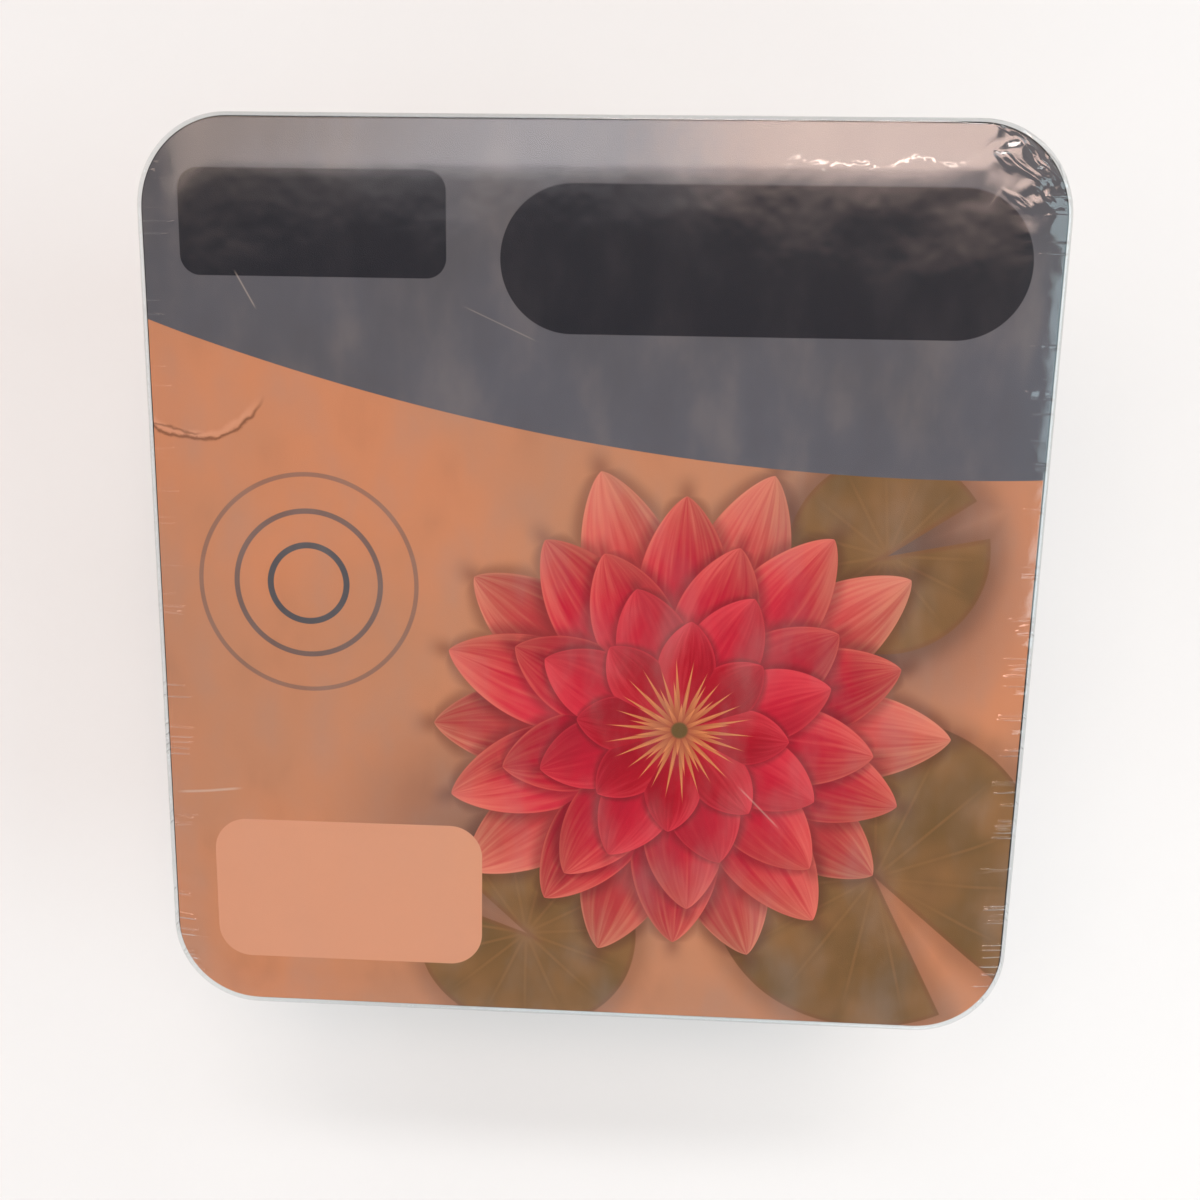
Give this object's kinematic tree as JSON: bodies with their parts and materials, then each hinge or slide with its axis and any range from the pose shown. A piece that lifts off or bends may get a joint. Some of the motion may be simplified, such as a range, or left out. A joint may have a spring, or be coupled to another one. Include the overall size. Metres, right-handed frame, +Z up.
{
  "type": "shrink-wrapped water lily planting kit",
  "caption": "Sealed square planting kit: a slotted pond basket with its contents under a rounded printed card, drawn tight in a clear shrink sleeve that is open in an oval at each side.",
  "frame": {"origin": "centre of the pack's underside, on the surface that it stands on", "axes": "+Z up out of the printed face, +Y towards the top edge of the print, +X to the right of the print"},
  "size_m": [0.206, 0.213, 0.1013],
  "materials": {
    "basket_plastic": "fine-grained injection-moulded black plastic",
    "card_print": "coated printed board, grey on its underside",
    "clear_film": "clear glossy shrink film with tension wrinkles",
    "soil_film": "clear bag filled with dark pond soil",
    "gravel_film": "clear bag filled with washed gravel",
    "leaflet_paper": "uncoated folded paper",
    "vented_film": "thin hazy bag film with round vents",
    "rootstock": "rough brown rootstock with paler scars and reddish shoots",
    "sachet_paper": "coated paper sachet with crimped ends"
  },
  "bodies": {
    "root": {"basket": "basket_plastic", "printed_card": "card_print", "shrink_film": "clear_film", "soil_bag": "soil_film", "gravel_bag": "gravel_film", "leaflet": "leaflet_paper", "rhizome_bag": "vented_film", "rhizome": "rootstock", "feed_sachet": "sachet_paper"}
  },
  "joints": []
}
